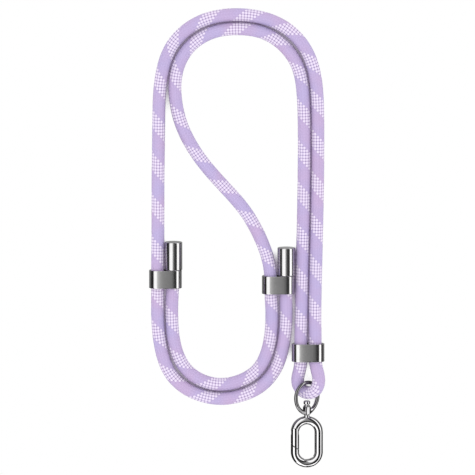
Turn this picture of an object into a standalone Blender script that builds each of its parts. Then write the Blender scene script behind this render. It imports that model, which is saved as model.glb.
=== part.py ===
"""Phone crossbody strap, lying flat on a table.

One round braided rope runs twice round: it starts in an end cap, makes the lower bend, an S curve
and the upper bend, loops through a bail ring, goes back over the upper bend, down the left side and
round the lower bend again, and ends in a second cap. Three flat oval collars hold the runs side by
side. A swivel post joins the bail ring to an oval clip whose left side is a sprung gate.

Metres, +Z up. The origin is the middle of the strap's outline, on the table. +Y points to the upper
bend and +X to the bail ring's side.
"""

import math

import bmesh
import bpy
import numpy as np
from mathutils import Matrix

MM = 0.001

# Rope
ROPE_DIAMETER = 8.0 * MM
ROPE_STRAIGHT_STEP = 38.0 * MM
ROPE_BEND_STEP = math.radians(25)
LOOSE_GAP = 0.3 * MM

# Collars: flat oval sleeves round two runs of the rope
COLLAR_WALL = 1.0 * MM
COLLAR_LENGTH = 11.0 * MM
COLLAR_PLAY_FLAT = 0.5 * MM
COLLAR_PLAY_WIDE = 1.0 * MM
COLLAR_EDGE = 0.3 * MM
LEFT_COLLAR_AT = (-43.7 * MM, -24.7 * MM)
MIDDLE_COLLAR_AT = (25.2 * MM, -28.2 * MM)
LOOP_COLLAR_AT = (43.4 * MM, -70.0 * MM)

# End caps: cups on the rope's two ends, seated on a collar
CAP_WALL = 0.9 * MM
CAP_PLAY = 0.5 * MM
CAP_TOP = 1.4 * MM
CAP_LENGTH = 17.0 * MM
CAP_OFFSET = 4.9 * MM
CAP_EDGE = 0.45 * MM
ROPE_END_GAP = 0.5 * MM

# Bail ring with its barrel
RING_CENTRE = (42.7 * MM, -96.9 * MM, 6.5 * MM)
RING_RADIUS = 8.5 * MM
RING_STRETCH = 1.7 * MM
RING_WIRE = 2.3 * MM
RING_TILT = math.radians(38)
BARREL_DIAMETER = 4.4 * MM
BARREL_LENGTH = 5.0 * MM
BARREL_RISE = 1.3 * MM
BARREL_EDGE = 0.4 * MM

# Swivel post: head, neck, flange, shaft and foot, turning in the barrel
SHAFT_DIAMETER = 2.1 * MM
SHAFT_PLAY = 0.10 * MM
HEAD_DIAMETER = 4.1 * MM
HEAD_LENGTH = 1.9 * MM
HEAD_EDGE = 0.5 * MM
NECK_DIAMETER = 2.6 * MM
NECK_LENGTH = 0.9 * MM
FLANGE_DIAMETER = 3.9 * MM
FLANGE_LENGTH = 0.4 * MM
FOOT_DIAMETER = 3.3 * MM
FOOT_LENGTH = 1.6 * MM

# Oval clip
CLIP_WIDTH = 19.6 * MM
CLIP_LENGTH = 32.2 * MM
CLIP_ROD = 5.1 * MM
CLIP_BELOW_BARREL = 1.2 * MM
RECESS_LEFT = 1.5 * MM
RECESS_WIDTH = 5.9 * MM
RECESS_DEPTH = 0.75 * MM
RECESS_SLOPE = math.radians(15.7)

# Gate: the straight left side above a slanted seam, on a hidden hinge
SEAM_BELOW_MIDDLE = 2.7 * MM
SEAM_SLOPE = math.radians(35)
SEAM_GAP = 0.3 * MM
KNUCKLE_GAP = 0.25 * MM
TONGUE_THICKNESS = 1.6 * MM
TONGUE_RADIUS = 1.7 * MM
TONGUE_NECK = 2.4 * MM
TONGUE_ROOT = 0.6 * MM
TONGUE_PLAY = 0.2 * MM
PIN_DIAMETER = 1.1 * MM
PIN_PLAY = 0.10 * MM
PIN_COVER = 0.55 * MM

# Facets
ROUND_SIDES = 28
WIRE_SIDES = 12
RING_STEPS = 44
ARC_STEPS = 14

# Sizes that follow from those above
ROPE_RADIUS = ROPE_DIAMETER / 2
COLLAR_THICKNESS = ROPE_DIAMETER + 2 * (COLLAR_PLAY_FLAT + COLLAR_WALL)
COLLAR_WIDTH = 2 * (ROPE_DIAMETER + COLLAR_PLAY_WIDE + COLLAR_WALL)
FITTING_HEIGHT = COLLAR_THICKNESS / 2
CAP_BORE = ROPE_RADIUS + CAP_PLAY
CAP_RADIUS = CAP_BORE + CAP_WALL
RING_FOOT = RING_RADIUS + RING_STRETCH
BARREL_MIDDLE = RING_FOOT - BARREL_RISE
BARREL_TOP = BARREL_MIDDLE - BARREL_LENGTH / 2
BARREL_END = BARREL_MIDDLE + BARREL_LENGTH / 2
CLIP_START = BARREL_END + CLIP_BELOW_BARREL
CLIP_MIDDLE = CLIP_START + CLIP_LENGTH / 2
ROD_RADIUS = CLIP_ROD / 2
ARC_RADIUS = CLIP_WIDTH / 2 - ROD_RADIUS
STRAIGHT_HALF = (CLIP_LENGTH - CLIP_WIDTH) / 2
FAR_ROD = CLIP_START + CLIP_LENGTH - ROD_RADIUS
CLIP_PITCH = math.asin((RING_CENTRE[2] - ROD_RADIUS) / FAR_ROD)
HINGE_X = -ARC_RADIUS
HINGE_Y = STRAIGHT_HALF - CLIP_MIDDLE

# The rope's centre line in millimetres, chosen by hand, from the left cap to the middle one: X, Y and
# how far it is lifted off the table
ROUTE_MM = [
    # left cap and collar, right-hand slot; the first point moves to the cap's floor
    (-38.8, -3.8, 1.5), (-38.8, -12.0, 1.5), (-38.9, -19.0, 1.4), (-39.3, -30.0, 1.3),
    (-39.9, -42.0, 0.2),
    # lower bend, inner run
    (-39.8, -50.0, 0.0), (-37.8, -66.8, 0.0), (-30.7, -81.0, 0.0), (-20.4, -88.0, 0.0),
    (-9.2, -90.0, 0.0), (2.0, -87.7, 0.0), (12.1, -81.2, 0.0), (19.2, -66.9, 0.0),
    (21.2, -50.0, 0.0), (21.2, -43.5, 0.3),
    # middle collar, left-hand slot, and the S curve
    (20.7, -33.5, 1.3), (20.5, -23.0, 1.3), (18.7, -12.0, 0.2), (15.2, -2.0, 0.0),
    (4.9, 16.9, 0.0), (-10.9, 35.2, 0.0), (-25.6, 53.7, 0.0), (-34.6, 72.2, 0.0),
    (-37.8, 89.8, 0.0),
    # upper bend, inner run
    (-36.2, 104.8, 0.0), (-29.1, 117.5, 0.0), (-16.1, 126.3, 0.0), (0.0, 128.9, 0.0),
    (16.3, 126.3, 0.0), (29.4, 117.5, 0.0), (37.2, 105.1, 0.0), (40.3, 87.9, 0.0),
    # right side, inner run
    (41.0, 66.4, 0.0), (40.9, 38.6, 0.0), (40.3, 4.7, 0.0), (39.6, -26.1, 0.0),
    (39.2, -50.0, 0.0),
    # loop collar and the loop through the bail ring
    (39.0, -64.5, 1.3), (39.0, -75.5, 1.3), (38.0, -82.0, 0.6), (37.1, -87.7, 0.2),
    (39.1, -92.9, 0.6), (43.5, -94.8, 2.6), (48.0, -92.6, 4.8), (49.9, -87.2, 5.0),
    (49.0, -81.2, 3.3), (47.9, -75.5, 1.8), (47.7, -64.5, 1.3),
    # right side, outer run
    (47.6, -50.0, 0.0), (47.9, -26.1, 0.0), (48.6, 4.7, 0.0), (49.2, 38.6, 0.0),
    (49.3, 66.4, 0.0), (48.8, 87.9, 0.0),
    # upper bend, outer run
    (46.1, 105.8, 0.0), (38.7, 120.8, 0.0), (25.7, 131.7, 0.0), (13.4, 136.1, 0.0),
    (0.0, 137.5, 0.0), (-14.2, 136.0, 0.0), (-28.4, 129.9, 0.0), (-39.8, 118.1, 0.0),
    (-45.1, 104.5, 0.0), (-47.2, 89.8, 0.0),
    # left side
    (-47.8, 69.4, 0.0), (-48.2, 38.6, 0.0), (-48.3, 7.8, 0.0), (-48.4, -7.0, 0.1),
    # left collar, left-hand slot, and the lower bend, outer run
    (-48.5, -19.0, 1.3), (-48.5, -30.0, 1.3), (-48.6, -42.0, 0.2), (-48.5, -50.0, 0.0),
    (-46.6, -66.9, 0.0), (-40.9, -82.9, 0.0), (-29.8, -93.3, 0.0), (-19.6, -97.4, 0.0),
    (-9.0, -98.7, 0.0), (2.2, -96.9, 0.0), (13.8, -91.5, 0.0), (23.0, -81.3, 0.0),
    (28.0, -67.0, 0.0), (29.9, -50.0, 0.0), (30.0, -43.5, 0.3),
    # middle collar, right-hand slot, and its cap; the last point moves to that cap's floor
    (29.8, -33.5, 1.3), (29.9, -23.0, 1.4), (30.0, -16.0, 1.5), (30.0, -7.3, 1.5),
]


def clear_scene():
    for obj in list(bpy.data.objects):
        bpy.data.objects.remove(obj, do_unlink=True)


def new_collection(name):
    collection = bpy.data.collections.new(name)
    bpy.context.scene.collection.children.link(collection)
    return collection


def metal(name, color, roughness):
    material = bpy.data.materials.new(name)
    material.use_nodes = True
    shader = material.node_tree.nodes["Principled BSDF"]
    shader.inputs["Base Color"].default_value = (*color, 1.0)
    shader.inputs["Metallic"].default_value = 1.0
    shader.inputs["Roughness"].default_value = roughness
    return material


def lilac_braid():
    material = bpy.data.materials.new("lilac_braid")
    material.use_nodes = True
    shader = material.node_tree.nodes["Principled BSDF"]
    shader.inputs["Base Color"].default_value = (0.60, 0.48, 0.78, 1.0)
    shader.inputs["Roughness"].default_value = 0.7
    shader.inputs["Sheen Weight"].default_value = 0.3
    return material


def place(obj, name, material, parent=None):
    """Names an object, moves it to the strap's collection and gives it its material and parent."""
    obj.name = name
    obj.data.name = name
    for collection in list(obj.users_collection):
        collection.objects.unlink(obj)
    STRAP.objects.link(obj)
    obj.data.materials.clear()
    obj.data.materials.append(material)
    if parent is not None:
        obj.parent = parent
    return obj


def hide_cutter(obj, name):
    """Keeps a cutter out of the model."""
    obj.name = name
    obj.hide_render = True
    obj.display_type = "WIRE"
    for collection in list(obj.users_collection):
        collection.objects.unlink(obj)
    CUTTERS.objects.link(obj)
    return obj


def axis_empty(name, location, rotation=(0.0, 0.0, 0.0), parent=None):
    empty = bpy.data.objects.new(name, None)
    empty.empty_display_size = 5 * MM
    empty.location = location
    empty.rotation_euler = rotation
    empty.parent = parent
    STRAP.objects.link(empty)
    return empty


def smooth_round(obj):
    obj.data.shade_smooth()
    obj.data.set_sharp_from_angle(angle=math.radians(40))


def mesh_of_curve(curve_obj):
    """The curve's own mesh with its caps welded on, in a new object; the curve is removed."""
    bpy.context.view_layer.update()
    graph = bpy.context.evaluated_depsgraph_get()
    mesh = bpy.data.meshes.new_from_object(curve_obj.evaluated_get(graph))
    work = bmesh.new()
    work.from_mesh(mesh)
    bmesh.ops.remove_doubles(work, verts=work.verts, dist=1e-7)
    bmesh.ops.recalc_face_normals(work, faces=work.faces)
    work.to_mesh(mesh)
    work.free()
    obj = bpy.data.objects.new(curve_obj.name, mesh)
    obj.matrix_world = curve_obj.matrix_world
    bpy.context.scene.collection.objects.link(obj)
    bpy.data.objects.remove(curve_obj, do_unlink=True)
    return obj


def poly_curve(name, outlines, cyclic=True, flat=False):
    """A curve object with one POLY spline through each list of points."""
    curve = bpy.data.curves.new(name, "CURVE")
    curve.dimensions = "2D" if flat else "3D"
    for outline in outlines:
        spline = curve.splines.new("POLY")
        spline.points.add(len(outline) - 1)
        for point, place_at in zip(spline.points, outline):
            point.co = (*place_at, 1.0)
        spline.use_cyclic_u = cyclic
    obj = bpy.data.objects.new(name, curve)
    bpy.context.scene.collection.objects.link(obj)
    return obj


def flat_prism(name, outlines, thickness):
    """A closed prism from outlines in the XY plane, centred on it; an outline inside another is a hole."""
    obj = poly_curve(name, outlines, flat=True)
    obj.data.fill_mode = "BOTH"
    obj.data.extrude = thickness / 2
    return mesh_of_curve(obj)


def round_bar(name, radius, low, high, sides=ROUND_SIDES):
    """A cylinder along Z from low to high."""
    work = bmesh.new()
    bmesh.ops.create_cone(
        work, cap_ends=True, segments=sides, radius1=radius, radius2=radius, depth=high - low
    )
    bmesh.ops.translate(work, verts=work.verts, vec=(0, 0, (low + high) / 2))
    mesh = bpy.data.meshes.new(name)
    work.to_mesh(mesh)
    work.free()
    obj = bpy.data.objects.new(name, mesh)
    bpy.context.scene.collection.objects.link(obj)
    return obj


def turned(name, profile, sides=ROUND_SIDES):
    """A solid turned round Z from a profile of (radius, height), top to bottom."""
    mesh = bpy.data.meshes.new(name)
    edges = [(i, i + 1) for i in range(len(profile) - 1)]
    mesh.from_pydata([(radius, 0.0, height) for radius, height in profile], edges, [])
    obj = bpy.data.objects.new(name, mesh)
    bpy.context.scene.collection.objects.link(obj)
    screw = obj.modifiers.new("turn", "SCREW")
    screw.axis = "Z"
    screw.steps = sides
    screw.render_steps = sides
    screw.use_merge_vertices = True
    screw.merge_threshold = 1e-6
    return obj


def combine(obj, other, operation, name):
    boolean = obj.modifiers.new(name, "BOOLEAN")
    boolean.operation = operation
    boolean.solver = "EXACT"
    boolean.object = other
    hide_cutter(other, name)


def child_of(parent, obj):
    obj.parent = parent
    return obj


def arc(centre, radius, start, end, steps):
    """Points of an arc from one angle to another, both ends included."""
    angles = [start + (end - start) * i / steps for i in range(steps + 1)]
    return [
        (centre[0] + radius * math.cos(a), centre[1] + radius * math.sin(a), 0.0) for a in angles
    ]


def stadium(width, thickness, middle=(0.0, 0.0), steps=ARC_STEPS):
    """A flat oval outline: straight sides along X joined by half circles."""
    radius = thickness / 2
    half = width / 2 - radius
    right = arc((middle[0] + half, middle[1]), radius, -math.pi / 2, math.pi / 2, steps)
    left = arc((middle[0] - half, middle[1]), radius, math.pi / 2, 1.5 * math.pi, steps)
    return right + left


def smooth_line(points, fineness=60):
    """Fine points on the natural cubic spline through the given points, which are among them."""
    points = np.array(points)
    knots = np.concatenate([[0.0], np.cumsum(np.linalg.norm(np.diff(points, axis=0), axis=1))])
    span = np.diff(knots)
    slope = np.diff(points, axis=0) / span[:, None]
    matrix = np.eye(len(points))
    right = np.zeros_like(points)
    inner = np.arange(1, len(points) - 1)
    matrix[inner, inner - 1] = span[:-1]
    matrix[inner, inner] = 2 * (span[:-1] + span[1:])
    matrix[inner, inner + 1] = span[1:]
    right[inner] = 6 * (slope[1:] - slope[:-1])
    bend = np.linalg.solve(matrix, right)
    at = np.arange((len(points) - 1) * fineness + 1)
    k = np.minimum(at // fineness, len(span) - 1)
    after = (at / fineness - k)[:, None]
    before = 1.0 - after
    size = (span[k] ** 2)[:, None] / 6
    line = before * points[k] + after * points[k + 1]
    line += size * ((before**3 - before) * bend[k] + (after**3 - after) * bend[k + 1])
    return line


def cap_mouth(collar_at):
    """How far up a cap's mouth is, just clear of its collar's upper rim."""
    return collar_at[1] + COLLAR_LENGTH / 2 + LOOSE_GAP


def rope_end(collar_at):
    """How far up the rope ends, just short of the floor inside its cap."""
    return cap_mouth(collar_at) + CAP_LENGTH - CAP_TOP - ROPE_END_GAP


def in_a_collar(point):
    """True for a route point inside a collar or at its mouth."""
    return any(
        abs(point[0] - at[0]) < COLLAR_WIDTH / 2 and abs(point[1] - at[1]) < COLLAR_LENGTH / 2 + 1 * MM
        for at in (LEFT_COLLAR_AT, MIDDLE_COLLAR_AT, LOOP_COLLAR_AT)
    )


def rope_centre_line():
    """Points on the route: one at each collar's mouth, the rest closer together where the rope bends."""
    route = np.array(ROUTE_MM) * MM + (0.0, 0.0, ROPE_RADIUS)
    route[0, 1] = rope_end(LEFT_COLLAR_AT)
    route[-1, 1] = rope_end(MIDDLE_COLLAR_AT)
    fineness = 60
    line = smooth_line(route, fineness)
    line[:, 2] = np.maximum(line[:, 2], ROPE_RADIUS)
    steps = np.diff(line, axis=0)
    lengths = np.linalg.norm(steps, axis=1)
    directions = steps / lengths[:, None]
    cosines = np.clip((directions[1:] * directions[:-1]).sum(axis=1), -1.0, 1.0)
    turns = np.concatenate([[0.0], np.arccos(cosines)])
    effort = np.concatenate([[0.0], np.cumsum(lengths / ROPE_STRAIGHT_STEP + turns / ROPE_BEND_STEP)])
    held = [i * fineness for i in range(1, len(route) - 1) if in_a_collar(route[i])]
    wanted = [effort[0]]
    for end in [*held, len(line) - 1]:
        stretch = effort[end] - wanted[-1]
        count = max(1, round(stretch))
        start = wanted[-1]
        wanted += [start + stretch * (i + 1) / count for i in range(count)]
    columns = [np.interp(wanted, effort, line[:, i]) for i in range(3)]
    return [tuple(float(value) for value in point) for point in zip(*columns)]


def make_rope(material):
    rope = poly_curve("rope", [rope_centre_line()], cyclic=False)
    rope.data.bevel_depth = ROPE_RADIUS
    rope.data.bevel_resolution = 4
    rope.data.use_fill_caps = True
    return place(rope, "rope", material)


def make_collar(name, at, material):
    """A flat oval sleeve, open along Y, with its rims rounded."""
    outer = stadium(COLLAR_WIDTH, COLLAR_THICKNESS)
    inner = stadium(COLLAR_WIDTH - 2 * COLLAR_WALL, COLLAR_THICKNESS - 2 * COLLAR_WALL)
    collar = flat_prism(name, [outer, inner], COLLAR_LENGTH)
    collar.data.transform(Matrix.Rotation(math.pi / 2, 4, "X"))
    collar.location = (at[0], at[1], FITTING_HEIGHT)
    rims = collar.modifiers.new("rounded_rims", "BEVEL")
    rims.width = COLLAR_EDGE
    rims.segments = 2
    rims.limit_method = "ANGLE"
    rims.angle_limit = math.radians(50)
    smooth_round(collar)
    return place(collar, name, material)


def make_end_cap(name, collar_at, material):
    """A cup over a rope end: its mouth sits on the collar's upper rim and its closed end points to +Y."""
    edge = CAP_EDGE
    profile = [
        (0.0, CAP_LENGTH),
        (CAP_RADIUS - edge, CAP_LENGTH),
        (CAP_RADIUS - edge * 0.3, CAP_LENGTH - edge * 0.3),
        (CAP_RADIUS, CAP_LENGTH - edge),
        (CAP_RADIUS, 0.0),
        (CAP_BORE, 0.0),
        (CAP_BORE, CAP_LENGTH - CAP_TOP),
        (0.0, CAP_LENGTH - CAP_TOP),
    ]
    cap = turned(name, profile)
    cap.rotation_euler = (-math.pi / 2, 0.0, 0.0)
    cap.location = (collar_at[0] + CAP_OFFSET, cap_mouth(collar_at), FITTING_HEIGHT)
    return place(cap, name, material)


def stretch_foot(ring):
    """Draws the ring's lower half out towards its foot, so that the ring is egg-shaped."""
    for vertex in ring.data.vertices:
        below = -vertex.co.y / math.hypot(vertex.co.x, vertex.co.y)
        vertex.co.y -= RING_STRETCH * max(below, 0.0)


def make_bail_ring(swivel, material):
    """The tilted ring and the barrel at its foot, one casting, bored for the post."""
    bpy.ops.mesh.primitive_torus_add(
        major_radius=RING_RADIUS,
        minor_radius=RING_WIRE / 2,
        major_segments=RING_STEPS,
        minor_segments=WIRE_SIDES,
    )
    ring = bpy.context.object
    stretch_foot(ring)
    ring.data.transform(Matrix.Rotation(RING_TILT, 4, "Y"))
    radius = BARREL_DIAMETER / 2
    profile = [
        (0.0, BARREL_END),
        (radius - BARREL_EDGE, BARREL_END),
        (radius, BARREL_END - BARREL_EDGE),
        (radius, BARREL_TOP + BARREL_EDGE),
        (radius - BARREL_EDGE, BARREL_TOP),
        (0.0, BARREL_TOP),
    ]
    barrel = child_of(swivel, turned("barrel", profile))
    barrel.rotation_euler = (math.pi / 2, 0.0, 0.0)
    combine(ring, barrel, "UNION", "barrel")
    reach = BARREL_LENGTH
    bore_radius = SHAFT_DIAMETER / 2 + SHAFT_PLAY
    bore = round_bar("bore", bore_radius, BARREL_MIDDLE - reach, BARREL_MIDDLE + reach)
    child_of(swivel, bore).rotation_euler = (math.pi / 2, 0.0, 0.0)
    combine(ring, bore, "DIFFERENCE", "bore")
    smooth_round(ring)
    return place(ring, "bail_ring", material, swivel)


def swivel_post(swivel):
    """The post's turned outline, from its foot inside the oval up to its head inside the ring."""
    shaft = SHAFT_DIAMETER / 2
    head = HEAD_DIAMETER / 2
    flange = FLANGE_DIAMETER / 2
    seat = BARREL_TOP - LOOSE_GAP
    neck_end = seat - FLANGE_LENGTH
    neck_start = neck_end - NECK_LENGTH
    head_start = neck_start - HEAD_LENGTH
    foot_start = BARREL_END + LOOSE_GAP
    profile = [
        (0.0, foot_start + FOOT_LENGTH + ROD_RADIUS),
        (FOOT_DIAMETER / 2, foot_start + FOOT_LENGTH + ROD_RADIUS),
        (FOOT_DIAMETER / 2, foot_start),
        (shaft, foot_start),
        (shaft, seat),
        (flange, seat),
        (flange, neck_end),
        (NECK_DIAMETER / 2, neck_end - NECK_LENGTH / 2),
        (NECK_DIAMETER / 2, neck_start + NECK_LENGTH / 4),
        (head - HEAD_EDGE / 2, neck_start),
        (head, neck_start - HEAD_EDGE / 2),
        (head, head_start + HEAD_EDGE),
        (head - HEAD_EDGE, head_start),
        (0.0, head_start),
    ]
    post = child_of(swivel, turned("post", profile))
    post.rotation_euler = (math.pi / 2, 0.0, 0.0)
    return post


def oval_rod(name):
    """The clip's round rod, bent to a closed oval in the XY plane below the swivel."""
    upper = arc((0.0, STRAIGHT_HALF - CLIP_MIDDLE), ARC_RADIUS, 0.0, math.pi, 2 * ARC_STEPS)
    lower = arc((0.0, -STRAIGHT_HALF - CLIP_MIDDLE), ARC_RADIUS, math.pi, 2 * math.pi, 2 * ARC_STEPS)
    rod = poly_curve(name, [upper + lower])
    rod.data.bevel_depth = ROD_RADIUS
    rod.data.bevel_resolution = 4
    return mesh_of_curve(rod)


def gate_outline(seam_gap, knuckle_gap):
    """The gate's place seen from above: a slanted seam below, a round knuckle above."""
    side = ROD_RADIUS + 1 * MM
    seam_y = -SEAM_BELOW_MIDDLE - CLIP_MIDDLE - seam_gap / math.cos(SEAM_SLOPE)
    drop = side * math.tan(SEAM_SLOPE)
    knuckle = arc((HINGE_X, HINGE_Y), ROD_RADIUS + knuckle_gap, 0.0, math.pi, ROUND_SIDES // 2)
    return [
        (HINGE_X - side, seam_y + drop, 0.0),
        (HINGE_X + side, seam_y - drop, 0.0),
        (HINGE_X + side, HINGE_Y, 0.0),
        *knuckle,
        (HINGE_X - side, HINGE_Y, 0.0),
    ]


def tongue_outline():
    """A round tongue about the hinge with a neck up into the fixed rod."""
    join = math.acos(TONGUE_NECK / 2 / TONGUE_RADIUS)
    rounded = arc((HINGE_X, HINGE_Y), TONGUE_RADIUS, join, -math.pi - join, ROUND_SIDES)
    top = HINGE_Y + ROD_RADIUS + KNUCKLE_GAP + TONGUE_ROOT
    half = TONGUE_NECK / 2
    return [*rounded, (HINGE_X - half, top, 0.0), (HINGE_X + half, top, 0.0)]


def recess_outline():
    """A shallow flat pocket in the oval's lower inside, deeper to the left."""
    inner_half = CLIP_WIDTH / 2 - CLIP_ROD
    floor_y = -STRAIGHT_HALF - inner_half - CLIP_MIDDLE
    left = (-RECESS_LEFT, floor_y - RECESS_DEPTH + RECESS_LEFT * 0.15)
    along = (math.cos(RECESS_SLOPE) * RECESS_WIDTH, math.sin(RECESS_SLOPE) * RECESS_WIDTH)
    up = (-math.sin(RECESS_SLOPE) * CLIP_ROD, math.cos(RECESS_SLOPE) * CLIP_ROD)
    return [
        (left[0], left[1], 0.0),
        (left[0] + along[0], left[1] + along[1], 0.0),
        (left[0] + along[0] + up[0], left[1] + along[1] + up[1], 0.0),
        (left[0] + up[0], left[1] + up[1], 0.0),
    ]


def make_clip(swivel, material):
    """The oval with its post, cut away for the gate; a tongue and pin inside carry the gate."""
    clip = oval_rod("swivel_clip")
    through = 2 * CLIP_ROD
    recess = child_of(swivel, flat_prism("recess", [recess_outline()], through))
    combine(clip, recess, "DIFFERENCE", "recess")
    gap = child_of(swivel, flat_prism("gate_place", [gate_outline(SEAM_GAP, KNUCKLE_GAP)], through))
    combine(clip, gap, "DIFFERENCE", "gate_place")
    tongue = child_of(swivel, flat_prism("tongue", [tongue_outline()], TONGUE_THICKNESS))
    combine(clip, tongue, "UNION", "tongue")
    reach = ROD_RADIUS - PIN_COVER
    pin = child_of(swivel, round_bar("pin", PIN_DIAMETER / 2, -reach, reach, ARC_STEPS))
    pin.location = (HINGE_X, HINGE_Y, 0.0)
    combine(clip, pin, "UNION", "pin")
    combine(clip, swivel_post(swivel), "UNION", "post")
    smooth_round(clip)
    return place(clip, "swivel_clip", material, swivel)


def make_gate(swivel, material):
    """The clip's left side from the seam to the hinge, slotted over the tongue; it turns about the pin."""
    hinge = axis_empty("gate_hinge", (HINGE_X, HINGE_Y, 0.0), parent=swivel)
    gate = oval_rod("clip_gate")
    gate.data.transform(Matrix.Translation((-HINGE_X, -HINGE_Y, 0.0)))
    through = 2 * CLIP_ROD
    outline = child_of(swivel, flat_prism("gate_shape", [gate_outline(0.0, 0.0)], through))
    combine(gate, outline, "INTERSECT", "gate_shape")
    side = ROD_RADIUS + 1 * MM
    low = HINGE_Y - TONGUE_RADIUS - KNUCKLE_GAP
    slot_outline = [
        (HINGE_X - side, low, 0.0),
        (HINGE_X + side, low, 0.0),
        (HINGE_X + side, HINGE_Y + side, 0.0),
        (HINGE_X - side, HINGE_Y + side, 0.0),
    ]
    slot = flat_prism("gate_slot", [slot_outline], TONGUE_THICKNESS + 2 * TONGUE_PLAY)
    combine(gate, child_of(swivel, slot), "DIFFERENCE", "gate_slot")
    reach = ROD_RADIUS - PIN_COVER + PIN_PLAY
    hole = round_bar("pin_hole", PIN_DIAMETER / 2 + PIN_PLAY, -reach, reach, ARC_STEPS)
    child_of(swivel, hole).location = (HINGE_X, HINGE_Y, 0.0)
    combine(gate, hole, "DIFFERENCE", "pin_hole")
    smooth_round(gate)
    return place(gate, "clip_gate", material, hinge)


clear_scene()
STRAP = new_collection("phone_crossbody_strap")
CUTTERS = new_collection("cutters")
braid = lilac_braid()
gunmetal = metal("gunmetal", (0.30, 0.30, 0.31), 0.25)
polished = metal("polished_gunmetal", (0.50, 0.50, 0.52), 0.12)

make_rope(braid)
make_collar("left_collar", LEFT_COLLAR_AT, gunmetal)
make_collar("middle_collar", MIDDLE_COLLAR_AT, gunmetal)
make_collar("loop_collar", LOOP_COLLAR_AT, gunmetal)
make_end_cap("left_end_cap", LEFT_COLLAR_AT, gunmetal)
make_end_cap("middle_end_cap", MIDDLE_COLLAR_AT, gunmetal)
swivel_axis = axis_empty("swivel_axis", RING_CENTRE, (CLIP_PITCH, 0.0, 0.0))
make_bail_ring(swivel_axis, polished)
make_clip(swivel_axis, polished)
make_gate(swivel_axis, polished)
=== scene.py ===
"""Looks of the phone crossbody strap: its braided rope, collars, end caps, bail ring, swivel clip and gate.

Lengths are in metres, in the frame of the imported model: +Z up from the table, +Y to the upper bend.
"""

import math

import bpy
import numpy as np
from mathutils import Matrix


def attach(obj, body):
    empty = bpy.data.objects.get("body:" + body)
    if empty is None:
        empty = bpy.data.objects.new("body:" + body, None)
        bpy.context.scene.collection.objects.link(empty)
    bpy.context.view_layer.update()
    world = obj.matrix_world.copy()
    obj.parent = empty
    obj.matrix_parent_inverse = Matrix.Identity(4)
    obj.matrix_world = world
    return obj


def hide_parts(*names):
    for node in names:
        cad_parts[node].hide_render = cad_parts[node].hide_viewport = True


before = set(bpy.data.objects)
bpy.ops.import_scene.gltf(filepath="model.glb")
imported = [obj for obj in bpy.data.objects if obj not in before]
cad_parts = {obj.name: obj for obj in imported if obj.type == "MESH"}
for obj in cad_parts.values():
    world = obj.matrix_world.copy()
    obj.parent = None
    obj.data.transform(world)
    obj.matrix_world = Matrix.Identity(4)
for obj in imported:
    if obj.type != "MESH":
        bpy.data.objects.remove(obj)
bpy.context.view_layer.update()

MM = 0.001

# Camera: a long lens looking down, leaning back towards the upper bend
LENS = 1000
SENSOR = 36
LEAN = math.radians(7.5)
VIEW_WIDTH = 290.2 * MM
AIM = (0.28 * MM, 0.05 * MM, 0)

# Rope: its braid has 14 columns of cells round it, and flecks fill 6 of every 14 rows in each column
ROPE_RADIUS = 4.0 * MM
BRAID_COLUMNS = 14
BRAID_RELIEF = 0.07 * MM
PATCH_ROWS = 14
FLECK_ROWS = 6

# Collars, whose faces are slightly crowned between round ends, and end caps
COLLAR_WIDTH = 20.0 * MM
COLLAR_THICKNESS = 11.0 * MM
COLLAR_LENGTH = 11.0 * MM
COLLAR_WALL = 1.0 * MM
COLLAR_END_RADIUS = 5.3 * MM
COLLAR_EDGES = np.array((0.28, 0.28, 0.22, 0.22)) * MM
FITTING_HEIGHT = COLLAR_THICKNESS / 2
COLLARS_AT = {
    "left_collar": (-43.7 * MM, -24.7 * MM),
    "middle_collar": (25.2 * MM, -28.2 * MM),
    "loop_collar": (43.4 * MM, -70.0 * MM),
}
CAP_RADIUS = 5.4 * MM
CAP_BORE = 4.5 * MM
CAP_LENGTH = 17.0 * MM
CAP_TOP = 1.4 * MM
CAP_EDGES = np.array((0.45, 0.2, 0.2, 0.4)) * MM
CAP_OFFSET = 4.9 * MM
CAPS_ON = {"left_end_cap": "left_collar", "middle_end_cap": "middle_collar"}
LOOSE_GAP = 0.3 * MM
NEAR_AXIS = 0.02 * MM

# Bail ring, barrel and post, measured down the swivel's axis from the ring's centre
RING_CENTRE = np.array((42.7, -96.9, 6.5)) * MM
SWIVEL_PITCH = math.radians(5.3645)
RING_RADIUS = 8.5 * MM
RING_STRETCH = 1.7 * MM
RING_WIRE = 1.15 * MM
RING_TILT = math.radians(38)
FOOT_SWELLING = 0.55 * MM
FOOT_SPREAD = math.radians(24)
BARREL_RADIUS = 2.2 * MM
BARREL_THICKNESS = 1.8 * MM
BARREL_BORE = 1.15 * MM
BARREL_TOP = 6.4 * MM
BARREL_END = 11.4 * MM
BARREL_EDGES = np.array((0.12, 0.4, 0.4, 0.12)) * MM
HEAD_TOP = 2.9 * MM
HEAD_RADIUS = 2.05 * MM
HEAD_END = 4.8 * MM
NECK_TOP = 5.0 * MM
NECK_RADIUS = 1.3 * MM
FLANGE_LENGTH = 0.4 * MM
FLANGE_RADIUS = 1.95 * MM
SHAFT_RADIUS = 1.05 * MM
FOOT_RADIUS = 1.65 * MM
FOOT_END = 13.0 * MM
ROOT_RADIUS = 1.95 * MM
ROOT_END = 14.2 * MM
POST_EDGES = np.array((0.7, 0.4, 0.15, 0.25, 0.12, 0.12, 0.1, 0.1, 0.15, 0.3, 0.2)) * MM

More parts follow.
